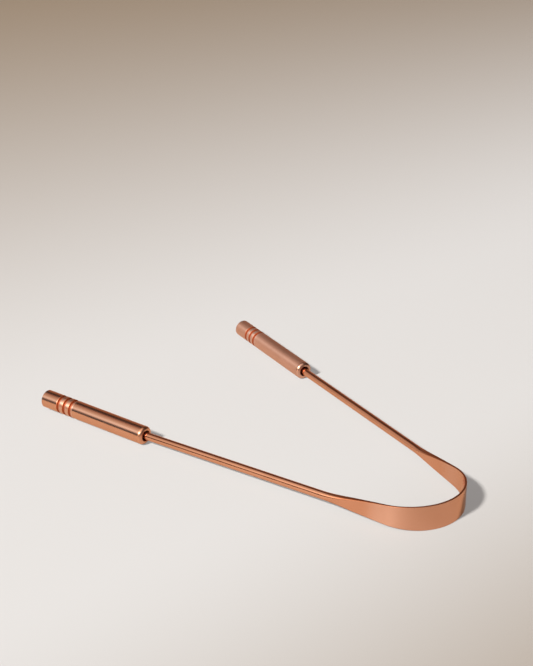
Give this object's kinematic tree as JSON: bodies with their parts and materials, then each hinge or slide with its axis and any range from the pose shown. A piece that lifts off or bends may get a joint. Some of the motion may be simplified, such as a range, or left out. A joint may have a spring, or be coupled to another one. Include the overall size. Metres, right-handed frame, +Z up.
{
  "type": "tongue scraper",
  "caption": "Copper tongue scraper: a springy bow of flattened strip whose two arms draw out into round rods, each ending in a turned, grooved handle.",
  "frame": {"origin": "middle of the bow's lower edge, on the surface that the scraper lies on", "axes": "+Z up, +Y from the bow towards the handles, +X towards the right handle"},
  "size_m": [0.0982, 0.1457, 0.0084],
  "materials": {
    "strip_copper": "forged copper strip, satin, lightly brushed along its length",
    "handle_copper": "turned copper, fine satin, brighter on the rounded edges"
  },
  "bodies": {
    "bow": {"scraper_bow": "strip_copper"},
    "left_side": {"left_arm": "strip_copper", "left_handle": "handle_copper"},
    "right_side": {"right_arm": "strip_copper", "right_handle": "handle_copper"}
  },
  "joints": [
    {"name": "left_arm_flex", "type": "hinge", "parent": "bow", "child": "left_side", "pos_m": [-0.01035, 0.00355, 0.0042], "axis": [0, 0, -1], "range_deg": [-6, 8], "stiffness_Nm_per_rad": 0.84},
    {"name": "right_arm_flex", "type": "hinge", "parent": "bow", "child": "right_side", "pos_m": [0.01035, 0.00355, 0.0042], "axis": [0, 0, 1], "range_deg": [-6, 8], "stiffness_Nm_per_rad": 0.84}
  ]
}
